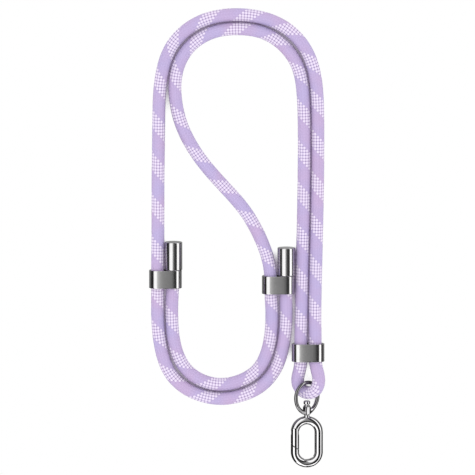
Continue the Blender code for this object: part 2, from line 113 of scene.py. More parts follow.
# Oval clip
ROD = 2.55 * MM
ARC = 7.25 * MM
HALF_STRAIGHT = 6.3 * MM
OVAL_MIDDLE = 28.7 * MM
HINGE = np.array((-ARC, HALF_STRAIGHT - OVAL_MIDDLE, 0.0))
STRAIGHT = 2 * HALF_STRAIGHT
HALF_TURN = math.pi * ARC
OVAL_LENGTH = 2 * STRAIGHT + 2 * HALF_TURN
SEAM_DOWN = HALF_STRAIGHT + 2.7 * MM
SEAM_SLOPE = math.radians(35)
SEAM_GAP = 0.3 * MM
KNUCKLE = 2.64 * MM
SLOT_HALF = 1.0 * MM
SLOT_FLOOR = 1.95 * MM
TONGUE_HALF = 0.8 * MM
TONGUE_RADIUS = 1.7 * MM
TONGUE_NECK = 1.2 * MM
TONGUE_ROOT = 0.6 * MM
POCKET_SLOPE = math.radians(15.7)
POCKET_CORNER = np.array((-1.5, -40.225)) * MM
POCKET_WIDTH = 5.9 * MM
POCKET_REACH = 4.0 * MM
SOFT_EDGE = 0.14 * MM

# How finely the round pieces are divided
CAP_SIDES = 96
POST_SIDES = 72
RING_STEPS = 200
WIRE_SIDES = 32
ROD_SIDES = 48
SOFT_STEPS = 6

# The rope's centre line in millimetres, from the left cap to the middle one: X, Y and how far it is
# lifted off the table
ROUTE_MM = [
    # left cap and collar, right-hand slot; the first point moves to the cap's floor
    (-38.8, -3.8, 1.5), (-38.8, -12.0, 1.5), (-38.9, -19.0, 1.4), (-39.3, -30.0, 1.3),
    (-39.9, -42.0, 0.2),
    # lower bend, inner run
    (-39.8, -50.0, 0.0), (-37.8, -66.8, 0.0), (-30.7, -81.0, 0.0), (-20.4, -88.0, 0.0),
    (-9.2, -90.0, 0.0), (2.0, -87.7, 0.0), (12.1, -81.2, 0.0), (19.2, -66.9, 0.0),
    (21.2, -50.0, 0.0), (21.2, -43.5, 0.3),
    # middle collar, left-hand slot, and the S curve
    (20.7, -33.5, 1.3), (20.5, -23.0, 1.3), (18.7, -12.0, 0.2), (15.2, -2.0, 0.0),
    (4.9, 16.9, 0.0), (-10.9, 35.2, 0.0), (-25.6, 53.7, 0.0), (-34.6, 72.2, 0.0),
    (-37.8, 89.8, 0.0),
    # upper bend, inner run
    (-36.2, 104.8, 0.0), (-29.1, 117.5, 0.0), (-16.1, 126.3, 0.0), (0.0, 128.9, 0.0),
    (16.3, 126.3, 0.0), (29.4, 117.5, 0.0), (37.2, 105.1, 0.0), (40.3, 87.9, 0.0),
    # right side, inner run
    (41.0, 66.4, 0.0), (40.9, 38.6, 0.0), (40.3, 4.7, 0.0), (39.6, -26.1, 0.0),
    (39.2, -50.0, 0.0),
    # loop collar and the loop through the bail ring
    (39.0, -64.5, 1.3), (39.0, -75.5, 1.3), (38.0, -82.0, 0.6), (37.1, -87.7, 0.2),
    (39.1, -92.9, 0.6), (43.5, -94.8, 2.6), (48.0, -92.6, 4.8), (49.9, -87.2, 5.0),
    (49.0, -81.2, 3.3), (47.9, -75.5, 1.8), (47.7, -64.5, 1.3),
    # right side, outer run
    (47.6, -50.0, 0.0), (47.9, -26.1, 0.0), (48.6, 4.7, 0.0), (49.2, 38.6, 0.0),
    (49.3, 66.4, 0.0), (48.8, 87.9, 0.0),
    # upper bend, outer run
    (46.1, 105.8, 0.0), (38.7, 120.8, 0.0), (25.7, 131.7, 0.0), (13.4, 136.1, 0.0),
    (0.0, 137.5, 0.0), (-14.2, 136.0, 0.0), (-28.4, 129.9, 0.0), (-39.8, 118.1, 0.0),
    (-45.1, 104.5, 0.0), (-47.2, 89.8, 0.0),
    # left side
    (-47.8, 69.4, 0.0), (-48.2, 38.6, 0.0), (-48.3, 7.8, 0.0), (-48.4, -7.0, 0.1),
    # left collar, left-hand slot, and the lower bend, outer run
    (-48.5, -19.0, 1.3), (-48.5, -30.0, 1.3), (-48.6, -42.0, 0.2), (-48.5, -50.0, 0.0),
    (-46.6, -66.9, 0.0), (-40.9, -82.9, 0.0), (-29.8, -93.3, 0.0), (-19.6, -97.4, 0.0),
    (-9.0, -98.7, 0.0), (2.2, -96.9, 0.0), (13.8, -91.5, 0.0), (23.0, -81.3, 0.0),
    (28.0, -67.0, 0.0), (29.9, -50.0, 0.0), (30.0, -43.5, 0.3),
    # middle collar, right-hand slot, and its cap; the last point moves to that cap's floor
    (29.8, -33.5, 1.3), (29.9, -23.0, 1.4), (30.0, -16.0, 1.5), (30.0, -7.3, 1.5),
]

# Where patches of flecks lie: millimetres along the rope, and which patch that is
PATCHES_AT = [
    (0.0, -1.8),
    (46.0, 0),
    (200.0, 6),
    (429.0, 15),
    (582.5, 21),
    (686.5, 25),
    (916.0, 34),
    (1096.0, 41),
    (1251.0, 47),
    (1297.0, 48.8),
]

# Colours, in linear light
PINKER_LILAC = (0.319, 0.2385, 0.379, 1)
BLUER_LILAC = (0.289, 0.244, 0.405, 1)
# painted shade for the braid's yarn valleys
YARN_VALLEY_SHADE = (0.18, 0.13, 0.247, 1)
# painted shade in the gaps between flecks
FLECK_GAP_SHADE = (0.135, 0.098, 0.188, 1)
FLECK = (0.465, 0.409, 0.51, 1)
DARK_PLATE = ((0.47, 0.465, 0.465, 1), (0.51, 0.505, 0.505, 1))
BRIGHT_PLATE = ((0.50, 0.495, 0.50, 1), (0.54, 0.535, 0.54, 1))
RING_PLATE = ((0.52, 0.515, 0.52, 1), (0.56, 0.555, 0.56, 1))
# painted shade over the bail ring's wire
WIRE_SHADE = (0.40, 0.395, 0.40, 1)
RUBBED = (0.8, 0.79, 0.78, 1)
# painted shade for the seam between the gate and the clip's lower end
SEAM_SHADE = (0.02, 0.02, 0.02, 1)
# painted shade for the floor's narrowest gaps, tinted lilac as painted light bounced off the rope
FLOOR_GAP_SHADE = (0.13, 0.08, 0.18, 1)
WHITE = (1, 1, 1, 1)

# Even light on the rope and the floor, and how open a spot of the floor is from its darkest to white
EVEN_LIGHT = 2.0
FLOOR_SHADE = (0.09, 0.34)

# Brightness of the surroundings that the metal mirrors, by degrees from straight up towards +X
MIRRORED = [
    (-180, 0.36), (-150, 0.32), (-128, 0.30), (-112, 0.24), (-98, 0.08), (-88, 0.02), (-66, 0.02),
    (-60, 0.2), (-55, 1.0), (-50, 1.85), (-16, 1.85), (-12.5, 1.3), (-10, 0.95), (-8, 0.72), (-6, 0.58),
    (-3, 0.50), (0, 0.47), (6, 0.44), (8, 0.32), (10, 0.14), (14, 0.06), (36, 0.06), (44, 0.25),
    (49, 1.8), (53, 2.4), (71, 2.4), (76, 0.7), (82, 0.10), (98, 0.08), (114, 0.22), (135, 0.40),
    (180, 0.46),
]

# The same for directions that lean more than DOWN_FROM towards -Y, where the clip and the bail ring look
MIRRORED_DOWN = [
    (-180, 0.05), (-130, 0.01), (-62, 0.01), (-55, 0.3), (-50, 2.3), (-13, 2.5), (-8, 0.5), (-4, 0.12),
    (2, 0.10), (8, 0.01), (46, 0.01), (51, 0.7), (55, 1.9), (76, 1.9), (83, 0.4), (90, 0.02), (180, 0.04),
]
DOWN_FROM = 0.155
DOWN_PANEL = 0.865


def put_camera():
    data = bpy.data.cameras.new("camera")
    data.lens = LENS
    data.sensor_width = SENSOR
    away = LENS / SENSOR * VIEW_WIDTH
    data.clip_start = 0.1
    data.clip_end = 20
    camera = bpy.data.objects.new("camera", data)
    camera.location = (AIM[0], AIM[1] + away * math.sin(LEAN), AIM[2] + away * math.cos(LEAN))
    camera.rotation_euler = (-LEAN, 0, 0)
    bpy.context.scene.collection.objects.link(camera)
    bpy.context.scene.camera = camera


def smooth_line(points, fineness):
    """Fine points on the natural cubic spline through the given points.

    On each span the line is the weighted mean of its two ends plus the cubic terms of the bends there;
    the bends solve the usual three-banded system, and are zero at both ends of the rope.
    """
    knots = np.concatenate([[0.0], np.cumsum(np.linalg.norm(np.diff(points, axis=0), axis=1))])
    span = np.diff(knots)
    slope = np.diff(points, axis=0) / span[:, None]
    matrix = np.eye(len(points))
    right = np.zeros_like(points)
    inner = np.arange(1, len(points) - 1)
    matrix[inner, inner - 1] = span[:-1]
    matrix[inner, inner] = 2 * (span[:-1] + span[1:])
    matrix[inner, inner + 1] = span[1:]
    right[inner] = 6 * (slope[1:] - slope[:-1])
    bend = np.linalg.solve(matrix, right)
    at = np.arange((len(points) - 1) * fineness + 1)
    k = np.minimum(at // fineness, len(span) - 1)
    after = (at / fineness - k)[:, None]
    before = 1.0 - after
    size = (span[k] ** 2)[:, None] / 6
    line = before * points[k] + after * points[k + 1]
    return line + size * ((before**3 - before) * bend[k] + (after**3 - after) * bend[k + 1])


def lengths_along(line):
    return np.concatenate([[0.0], np.cumsum(np.linalg.norm(np.diff(line, axis=0), axis=1))])


def at_lengths(line, lengths, wanted):
    return np.stack([np.interp(wanted, lengths, line[:, k]) for k in range(3)], axis=1)


def unit(vectors):
    return vectors / np.linalg.norm(vectors, axis=-1, keepdims=True)


def shell(rows, ring=False, first=None, last=None):
    """A closed skin over a grid of points: each row is a loop, and rows follow each other.

    With ring, the last row joins the first. Otherwise first and last are the poles that close the ends.
    Returns the points and the faces, turned to point outwards.
    """
    count, around = rows.shape[:2]
    index = np.arange(count * around).reshape(count, around)
    beyond = np.roll(index, -1, axis=1)
    low, high = (index, np.roll(index, -1, axis=0)) if ring else (index[:-1], index[1:])
    low_next, high_next = (beyond, np.roll(beyond, -1, axis=0)) if ring else (beyond[:-1], beyond[1:])
    quads = np.stack([low, low_next, high_next, high], axis=-1).reshape(-1, 4)
    points = rows.reshape(-1, 3)
    fans = np.zeros((0, 3), int)
    for pole, loop, onward in ((first, index[0], False), (last, index[-1], True)):
        if pole is None:
            continue
        tip = np.full(around, len(points))
        points = np.vstack([points, pole])
        edge = (loop, np.roll(loop, -1)) if onward else (np.roll(loop, -1), loop)
        fans = np.vstack([fans, np.stack([*edge, tip], axis=-1)])
    triangles = np.vstack([quads[:, [0, 1, 2]], quads[:, [0, 2, 3]], fans])
    corner = points[triangles] - points.mean(axis=0)
    if np.einsum("ij,ij->", corner[:, 0], np.cross(corner[:, 1], corner[:, 2])) < 0:
        quads, fans = quads[:, ::-1], fans[:, ::-1]
    return points, quads, fans


def make_piece(name, shells, material, body, nodes, sharp=35):
    """Puts closed skins into one mesh object with its material, on its body, in place of its nodes."""
    points, faces, before = [], [], 0
    for skin, quads, fans in shells:
        points.append(skin)
        faces += (quads + before).tolist() + (fans + before).tolist()
        before += len(skin)
    mesh = bpy.data.meshes.new(name)
    mesh.from_pydata(np.vstack(points), [], faces)
    mesh.validate()
    mesh.shade_smooth()
    if sharp:
        mesh.set_sharp_from_angle(angle=math.radians(sharp))
    mesh.materials.append(material)
    piece = bpy.data.objects.new(name, mesh)
    bpy.context.scene.collection.objects.link(piece)
    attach(piece, body)
    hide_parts(*nodes)
    return piece


def rope_line():
    line = smooth_line(np.array(ROUTE_MM) * MM + (0, 0, ROPE_RADIUS), 60)
    line[:, 2] = np.maximum(line[:, 2], ROPE_RADIUS)
    return line


def make_rope(material):
    """A round tube along the route.

    Row v and column u give the point: centre(v) + radius(u, v) * (cos a * up + sin a * right), where a is
    the turn u / 14 of a circle from the top, and the radius swells by the braid's relief over each cell.
    Rows are evenly spaced in braid rows, four to each, and columns are two to each braid column.
    """
    line = rope_line()
    lengths = lengths_along(line)
    known_at, patch = np.array(PATCHES_AT).T
    row_at = np.interp(lengths, known_at * MM, PATCH_ROWS * patch + FLECK_ROWS / 2)
    row = np.arange(math.ceil(row_at[0] * 4), math.floor(row_at[-1] * 4) + 1) / 4
    row = np.concatenate([[row_at[0]], row[1:-1], [row_at[-1]]])
    centre = at_lengths(line, row_at, row)
    ahead = unit(np.gradient(centre, axis=0))
    right = unit(np.cross(ahead, (0.0, 0.0, 1.0)))
    up = np.cross(right, ahead)
    column = np.arange(2 * BRAID_COLUMNS) / 2
    turn = 2 * math.pi * (column - 0.5) / BRAID_COLUMNS
    swell = -0.6 * np.cos(2 * math.pi * column)[None, :] - 0.4 * np.cos(2 * math.pi * row)[:, None]
    radius = ROPE_RADIUS - BRAID_RELIEF / 2 + BRAID_RELIEF / 2 * swell
    side = np.cos(turn)[None, :, None] * up[:, None] + np.sin(turn)[None, :, None] * right[:, None]
    rows = centre[:, None] + radius[:, :, None] * side
    rope = make_piece("braided_rope", [shell(rows, first=centre[0], last=centre[-1])], material,
                      "strap", ["rope"], sharp=None)
    lay_braid_map(rope, row, column, len(row) * len(column))
    return rope


def lay_braid_map(rope, row, column, count):
    """The rope's own UV map: U counts braid columns from under the top, V counts braid rows."""
    mesh = rope.data
    corners = np.empty(len(mesh.loops), np.int64)
    mesh.loops.foreach_get("vertex_index", corners)
    starts = np.empty(len(mesh.polygons), np.int64)
    sizes = np.empty(len(mesh.polygons), np.int64)
    mesh.polygons.foreach_get("loop_start", starts)
    mesh.polygons.foreach_get("loop_total", sizes)
    around = len(column)
    inside = np.minimum(corners, count - 1)
    u = column[inside % around]
    v = row[inside // around]
    face = np.repeat(np.arange(len(starts)), sizes)
    wraps = np.zeros(len(starts), bool)
    np.logical_or.at(wraps, face, u == column[-1])
    u = np.where(wraps[face] & (u == 0), float(BRAID_COLUMNS), u)
    layer = mesh.uv_layers.new(name="braid")
    layer.data.foreach_set("uv", np.stack([u, v], axis=1).astype(np.float32).ravel())


def rounded(outline, radii, steps=6, closed=True):
    """An outline whose corners are arcs of the given radii. An open one keeps its two ends.

    For the share s of an arc's whole turn w, the direction from its middle is (sin((1 - s) * w) * first +
    sin(s * w) * last) / sin(w), between the directions to its two ends.
    """
    outline = np.array(outline, float)
    corners = outline if closed else outline[1:-1]
    before = unit((np.roll(outline, 1, axis=0) if closed else outline[:-2]) - corners)
    after = unit((np.roll(outline, -1, axis=0) if closed else outline[2:]) - corners)
    half = np.arccos(np.clip((before * after).sum(axis=1), -1, 1)) / 2
    reach = (radii / np.tan(half))[:, None]
    middle = corners + unit(before + after) * (radii / np.sin(half))[:, None]
    first = unit(corners + before * reach - middle)[:, None]
    last = unit(corners + after * reach - middle)[:, None]
    share = np.linspace(0, 1, steps)[None, :, None]
    turn = (math.pi - 2 * half)[:, None, None]
    out = (np.sin((1 - share) * turn) * first + np.sin(share * turn) * last) / np.sin(turn)
    arcs = (middle[:, None] + out * radii[:, None, None]).reshape(-1, 2)
    return arcs if closed else np.vstack([outline[:1], arcs, outline[-1:]])


def crowned_oval(count):
    """Points and outward directions on the collars' outer face: a flat oval of four arcs that meet smoothly.

    Ends of radius r and top and bottom of radius r + q, where the top's arc spans twice the angle b on
    each side: tan(b / 2) = (T - r) / (W - r) and q = (W - r) / sin b, with half sizes W and T.
    """
    wide, thick, end = COLLAR_WIDTH / 2, COLLAR_THICKNESS / 2, COLLAR_END_RADIUS
    crown = 2 * math.atan((thick - end) / (wide - end))
    extra = (wide - end) / math.sin(crown)
    quarter = np.concatenate([np.linspace(0, crown, count // 3)[:-1], np.linspace(crown, math.pi / 2, count)])
    quarter = np.concatenate([quarter, math.pi - quarter[-2:0:-1]])
    turn = np.concatenate([quarter, quarter + math.pi])
    out = np.stack([np.sin(turn), np.cos(turn)], axis=1)
    flat = np.abs(out[:, 0]) < math.sin(crown)
    side = np.sign(out)
    on_end = np.stack([side[:, 0] * (wide - end), np.zeros(len(out))], axis=1) + out * end
    on_crown = np.stack([np.zeros(len(out)), -side[:, 1] * extra * math.cos(crown)], axis=1)
    on_crown += out * (end + extra)
    return np.where(flat[:, None], on_crown, on_end), out


def hold_flats(outline, near=0.2 * MM):
    """Adds a point just inside both ends of each long side of an outline, so that the side shades flat."""
    side = np.roll(outline, -1, axis=0) - outline
    size = np.linalg.norm(side, axis=1, keepdims=True)
    step = side * near / size
    spread = np.stack([outline, outline + step, outline + side - step], axis=1)
    kept = np.concatenate([np.ones_like(size), size > 4 * near, size > 4 * near], axis=1).astype(bool)
    return spread[kept]


def make_collar(name, at, material):
    """A flat oval sleeve: the wall's rounded outline carried round the oval, thickness inwards."""
    line, out = crowned_oval(32)
    half = COLLAR_LENGTH / 2
    wall = [(0, -half), (0, half), (-COLLAR_WALL, half), (-COLLAR_WALL, -half)]
    wall = hold_flats(rounded(wall, COLLAR_EDGES, 7))
    across = line[:, None] + out[:, None] * wall[None, :, :1]
    along = np.broadcast_to(wall[None, :, 1:], (*across.shape[:2], 1))
    rows = np.concatenate([across[..., :1], along, across[..., 1:]], axis=-1)
    rows = rows + (*at, FITTING_HEIGHT)
    piece = make_piece(name + "_band", [shell(rows, ring=True)], material, "strap", [name])


def turned(outline, sides):
    """Rows of a solid of revolution: (radius * cos a, height, radius * sin a) for each outline point."""
    turn = np.arange(sides) * 2 * math.pi / sides
    radius, height = np.array(outline, float).T
    return np.stack([radius[:, None] * np.cos(turn), np.broadcast_to(height[:, None], (len(radius), sides)),
                     radius[:, None] * np.sin(turn)], axis=-1)


def make_end_cap(name, collar_at, material):
    """A cup turned about Y, its mouth just off the collar's rim and its flat end to +Y, edges rounded.

    hold_flats takes the outline for a closed one, so the two points on its closing side are left off.
    """
    floor = CAP_LENGTH - CAP_TOP
    outline = [(NEAR_AXIS, CAP_LENGTH), (CAP_RADIUS, CAP_LENGTH), (CAP_RADIUS, 0), (CAP_BORE, 0),
               (CAP_BORE, floor), (NEAR_AXIS, floor)]
    outline = hold_flats(rounded(outline, CAP_EDGES, closed=False))[:-2]
    x, y = collar_at
    centre = np.array((x + CAP_OFFSET, y + COLLAR_LENGTH / 2 + LOOSE_GAP, FITTING_HEIGHT))
    rows = turned(outline, CAP_SIDES) + centre
    skin = shell(rows, first=centre + (0, CAP_LENGTH, 0), last=centre + (0, floor, 0))
    piece = make_piece(name + "_cup", [skin], material, "strap", [name])


def on_swivel(points):
    """From the swivel's own axes, -Y down the post, to their place on the strap."""
    x, y, z = np.moveaxis(np.asarray(points, float), -1, 0)
    cos, sin = math.cos(SWIVEL_PITCH), math.sin(SWIVEL_PITCH)
    return np.stack([x, y * cos - z * sin, y * sin + z * cos], axis=-1) + RING_CENTRE


def about_swivel(outline):
    """Rows turned about the swivel's axis, whose heights count down from the ring's centre."""
    rows = turned(outline, POST_SIDES)
    rows[..., 1] *= -1
    return rows


def make_bail_ring(material):
    """The tilted egg-shaped ring, whose wire thickens towards its foot, and the bored barrel on the foot.

    The ring's line is a circle whose lower half is moved down by RING_STRETCH times the sine of its turn,
    and its wire grows by a bell-shaped swelling about the foot. The barrel's side follows |x / W|^4 +
    |z / T|^4 = 1, turned with the ring, and its bore is round.
    """
    turn = np.linspace(0, 2 * math.pi, RING_STEPS, endpoint=False)
    off_foot = np.angle(np.exp(1j * (turn + math.pi / 2)))
    wire = RING_WIRE + FOOT_SWELLING * np.exp(-((off_foot / FOOT_SPREAD) ** 2))
    round_wire = np.linspace(0, 2 * math.pi, WIRE_SIDES, endpoint=False)
    reach = RING_RADIUS + wire[:, None] * np.cos(round_wire)
    height = wire[:, None] * np.sin(round_wire)
    x = reach * np.cos(turn)[:, None]
    y = reach * np.sin(turn)[:, None] - RING_STRETCH * np.maximum(-np.sin(turn), 0)[:, None]
    cos, sin = math.cos(RING_TILT), math.sin(RING_TILT)
    ring = shell(on_swivel(np.stack([x * cos + height * sin, y, height * cos - x * sin], axis=-1)), ring=True)
    outline = [(BARREL_BORE, BARREL_TOP), (BARREL_RADIUS, BARREL_TOP),
               (BARREL_RADIUS, BARREL_END), (BARREL_BORE, BARREL_END)]
    rows = about_swivel(hold_flats(rounded(outline, BARREL_EDGES, 7)))
    away = np.hypot(rows[..., 0], rows[..., 2])
    bearing = np.arctan2(rows[..., 2], rows[..., 0]) + RING_TILT
    side = (np.abs(np.cos(bearing) / BARREL_RADIUS) ** 4
            + np.abs(np.sin(bearing) / BARREL_THICKNESS) ** 4) ** -0.25
    out = (away - BARREL_BORE) / (BARREL_RADIUS - BARREL_BORE)
    rows[..., ::2] *= ((BARREL_BORE + out * (side - BARREL_BORE)) / away)[..., None]
    shells = [ring, shell(on_swivel(rows), ring=True)]
    piece = make_piece("bail_ring_cast", shells, material, "strap", ["bail_ring"])


def oval_line(length):
    """Centre and outward side of the clip's rod, at lengths measured from the hinge down the gate's side,
    round the lower turn, up the right side and round the upper turn."""
    lower = math.pi + (length - STRAIGHT) / ARC
    upper = (length - 2 * STRAIGHT - HALF_TURN) / ARC
    parts = [length < STRAIGHT, length < STRAIGHT + HALF_TURN, length < 2 * STRAIGHT + HALF_TURN]
    turn = np.select(parts, [np.full_like(length, math.pi), lower, np.zeros_like(length)], upper)
    side = np.stack([np.cos(turn), np.sin(turn), np.zeros_like(turn)], axis=-1)
    drop = np.select(parts, [HALF_STRAIGHT - length, np.full_like(length, -HALF_STRAIGHT),
                             length - STRAIGHT - HALF_TURN - HALF_STRAIGHT], HALF_STRAIGHT)
    centre = side * ARC
    centre[..., 1] += drop - OVAL_MIDDLE
    return centre, side


def rod_rows(start, end, around, count):
    """Rows of the round rod between two slanted ends, with a small soft edge at each.

    The radius near an end follows a quarter circle of SOFT_EDGE; point = centre + radius * (cos a * side +
    sin a * Z), and both ends may lie at a different length for every a.
    """
    ease = SOFT_EDGE * (1 - np.cos(np.linspace(0, math.pi / 2, SOFT_STEPS)))[:, None]
    middle = np.linspace(0, 1, count)[1:-1, None]
    inner_start, inner_end = start + SOFT_EDGE, end - SOFT_EDGE
    length = np.vstack([start + ease, inner_start + (inner_end - inner_start) * middle, (end - ease)[::-1]])
    near = np.minimum(np.minimum(length - start, end - length), SOFT_EDGE)
    radius = ROD - SOFT_EDGE + np.sqrt(np.maximum(SOFT_EDGE**2 - (SOFT_EDGE - near) ** 2, 0))
    centre, side = oval_line(length)
    rows = centre + radius[..., None] * np.cos(around)[None, :, None] * side
    rows[..., 2] += radius * np.sin(around)
    return rows


def seam_length(around, lower):
    """How far down the gate's side the slanted seam crosses the rod's surface at each angle."""
    down = SEAM_DOWN + (SEAM_GAP / math.cos(SEAM_SLOPE) if lower else 0)
    return down - ROD * np.cos(around) * math.tan(SEAM_SLOPE)


def cut_pocket(rows):
    """Presses the rod's inner lower side down to the flat floor of its shallow slanted pocket."""
    along = np.array((math.cos(POCKET_SLOPE), math.sin(POCKET_SLOPE)))
    up = np.array((-math.sin(POCKET_SLOPE), math.cos(POCKET_SLOPE)))
    across = (rows[..., :2] - POCKET_CORNER) @ along
    above = (rows[..., :2] - POCKET_CORNER) @ up
    inside = (across > 0) & (across < POCKET_WIDTH) & (above > 0) & (above < POCKET_REACH)
    rows[..., :2] -= np.where(inside, above, 0)[..., None] * up
    return rows


def make_clip(material):
    """The oval rod from the seam round to the knuckle, its hinge tongue, and the swivel post on top.

    At the knuckle each line of the rod ends where it meets a cylinder about the hinge: for a line at
    radius q from the turn's centre, cos(angle) = (q^2 + ARC^2 - KNUCKLE^2) / (2 * ARC * q). The hollow
    end runs along that cylinder to its top.
    """
    around = np.linspace(0, 2 * math.pi, ROD_SIDES, endpoint=False)
    reach = ARC + ROD * np.cos(around)
    angle = np.arccos((reach**2 + ARC**2 - KNUCKLE**2) / (2 * ARC * reach))
    rows = cut_pocket(rod_rows(seam_length(around, True), OVAL_LENGTH - ARC * angle, around, 300))
    from_hinge = rows[-1] - HINGE
    turn = np.arctan2(from_hinge[:, 1], from_hinge[:, 0])
    share = np.linspace(1, 0, 8)[1:-1, None]
    bearing = math.pi / 2 + (turn - math.pi / 2) * share
    reach = np.hypot(from_hinge[:, 0], from_hinge[:, 1])
    scoop = np.stack([reach * np.cos(bearing), reach * np.sin(bearing), from_hinge[:, 2] * share], axis=-1)
    rod = shell(on_swivel(np.concatenate([rows, HINGE + scoop])), first=on_swivel(rows[0].mean(axis=0)),
                last=on_swivel(HINGE + (0, KNUCKLE, 0)))
    shells = [rod, hinge_tongue(), swivel_post()]
    piece = make_piece("swivel_clip_oval", shells, material, "clip", ["swivel_clip"])


def hinge_tongue():
    """A flat tongue with a round end about the hinge and a neck up into the rod, its rims softened."""
    join = math.acos(TONGUE_NECK / TONGUE_RADIUS)
    turn = np.linspace(join, -math.pi - join, 60)
    round_end = np.stack([np.cos(turn), np.sin(turn)], axis=1) * TONGUE_RADIUS
    top = KNUCKLE + TONGUE_ROOT
    outline = np.vstack([round_end, [(-TONGUE_NECK, top), (TONGUE_NECK, top)]])
    shrink = np.array([0.9, 1, 1, 0.9])[:, None, None]
    level = np.array([-1.0, -0.85, 0.85, 1.0])[:, None, None] * TONGUE_HALF
    flat = outline * shrink
    rows = HINGE + np.concatenate([flat, np.broadcast_to(level, (*flat.shape[:2], 1))], axis=-1)
    return shell(on_swivel(rows), first=on_swivel(HINGE - (0, 0, TONGUE_HALF)),
                 last=on_swivel(HINGE + (0, 0, TONGUE_HALF)))


def swivel_post():
    """The turned post: domed head, waisted neck, flange, shaft through the barrel and foot on the oval."""
    seat = BARREL_TOP - LOOSE_GAP
    below = BARREL_END + LOOSE_GAP
    flange = seat - FLANGE_LENGTH
    outline = [(NEAR_AXIS, HEAD_TOP), (HEAD_RADIUS, HEAD_TOP), (HEAD_RADIUS, HEAD_END),
               (NECK_RADIUS, NECK_TOP), (NECK_RADIUS, flange), (FLANGE_RADIUS, flange), (FLANGE_RADIUS, seat),
               (SHAFT_RADIUS, seat), (SHAFT_RADIUS, below), (FOOT_RADIUS, below), (FOOT_RADIUS, FOOT_END),
               (ROOT_RADIUS, ROOT_END), (NEAR_AXIS, ROOT_END)]
    rows = about_swivel(rounded(outline, POST_EDGES, closed=False))
    return shell(on_swivel(rows), first=on_swivel((0, -HEAD_TOP, 0)), last=on_swivel((0, -ROOT_END, 0)))


def make_gate(material):
    """The gate: the rod from the slot's floor down to the seam, and two cheeks beside the tongue."""
    around = np.linspace(0, 2 * math.pi, ROD_SIDES, endpoint=False)
    start = np.full(len(around), SLOT_FLOOR - SOFT_EDGE)
    rows = rod_rows(start, seam_length(around, False), around, 40)[SOFT_STEPS:]
    rows[0, :, 1] = HINGE[1] - SLOT_FLOOR
    rows = on_swivel(rows)
    shaft = shell(rows, first=rows[0].mean(axis=0), last=rows[-1].mean(axis=0))
    piece = make_piece("clip_gate_rod", [shaft, cheek(1), cheek(-1)], material, "gate", ["clip_gate"])


def cheek(side):
    """One cheek of the gate, above (1) or below (-1) the tongue.

    Rows go across X, and each is a loop: out along the slot's flat wall to the knuckle's cylinder about
    the hinge, which lies sqrt(ROD^2 - x^2) away, and back along the rod's round side at that same height.
    The outer rows stop a little before the slot's corner, where the cheek would run out to nothing.
    """
    low = 1.03 * math.asin(SLOT_HALF / ROD)
    turn = np.linspace(low, math.pi - low, 41)[:, None]
    height = ROD * np.sin(turn)
    out = -SLOT_FLOOR + (height + SLOT_FLOOR) * np.linspace(0, 1, 10)
    y = np.concatenate([out, out[:, ::-1]], axis=1)
    x = np.broadcast_to(-ROD * np.cos(turn), y.shape)
    z = side * np.concatenate([np.full_like(out, SLOT_HALF), np.broadcast_to(height, out.shape)], axis=1)
    rows = on_swivel(HINGE + np.stack([x, y, z], axis=-1))
    return shell(rows, first=rows[0].mean(axis=0), last=rows[-1].mean(axis=0))


def add_node(tree, kind, inputs=None, **settings):
    """A new shader node. An input given as a socket is linked, and any other value is set."""
    node = tree.nodes.new("ShaderNode" + kind)
    for name, value in settings.items():
        setattr(node, name, value)
    for key, value in (inputs or {}).items():
        if isinstance(value, bpy.types.NodeSocket):
            tree.links.new(value, node.inputs[key])
        else:
            node.inputs[key].default_value = value
    return node


def maths(tree, operation, *values):
    return add_node(tree, "Math", dict(enumerate(values)), operation=operation).outputs[0]


def soft_step(tree, value, low, high):
    """1 below low, 0 above high, and a smooth fall between."""
    inputs = {"Value": value, "From Min": low, "From Max": high, "To Min": 1.0, "To Max": 0.0}
    return add_node(tree, "MapRange", inputs, interpolation_type="SMOOTHSTEP").outputs["Result"]


def blend(tree, factor, first, second, kind="MIX"):
    """A colour between first and second by the factor, or their product with kind MULTIPLY."""
    inputs = {0: factor, 6: first, 7: second}
    return add_node(tree, "Mix", inputs, data_type="RGBA", blend_type=kind).outputs[2]


def new_group(name, inputs, outputs):
    """An empty node group with named sockets, and its own input and output nodes' sockets."""
    tree = bpy.data.node_groups.new(name, "ShaderNodeTree")
    for label, kind, value in inputs:
        socket = tree.interface.new_socket(label, in_out="INPUT", socket_type="NodeSocket" + kind)
        if value is not None:
            socket.default_value = value
    for label, kind in outputs:
        tree.interface.new_socket(label, in_out="OUTPUT", socket_type="NodeSocket" + kind)
    return tree, tree.nodes.new("NodeGroupInput").outputs, tree.nodes.new("NodeGroupOutput").inputs


def use_group(tree, group, inputs):
    return add_node(tree, "Group", inputs, node_tree=group).outputs


def slow_drift_group():
    """Slow clouds between two near colours, with finer specks: for dye lots and for handled metal."""
    tree, given, result = new_group(
        "slow_drift",
        [("First Color", "Color", (1, 1, 1, 1)), ("Second Color", "Color", (1, 1, 1, 1)),
         ("Clouds Per Metre", "Float", 60.0)],
        [("Color", "Color"), ("Cloud", "Float")])
    where = add_node(tree, "TexCoord").outputs["Object"]
    cloud = add_node(tree, "TexNoise", {"Vector": where, "Scale": given["Clouds Per Metre"], "Detail": 3.0})
    factor = add_node(tree, "MapRange", {"Value": cloud.outputs["Fac"], "From Min": 0.35, "From Max": 0.65})
    color = blend(tree, factor.outputs["Result"], given["First Color"], given["Second Color"])
    tree.links.new(color, result["Color"])
    tree.links.new(factor.outputs["Result"], result["Cloud"])
    return tree


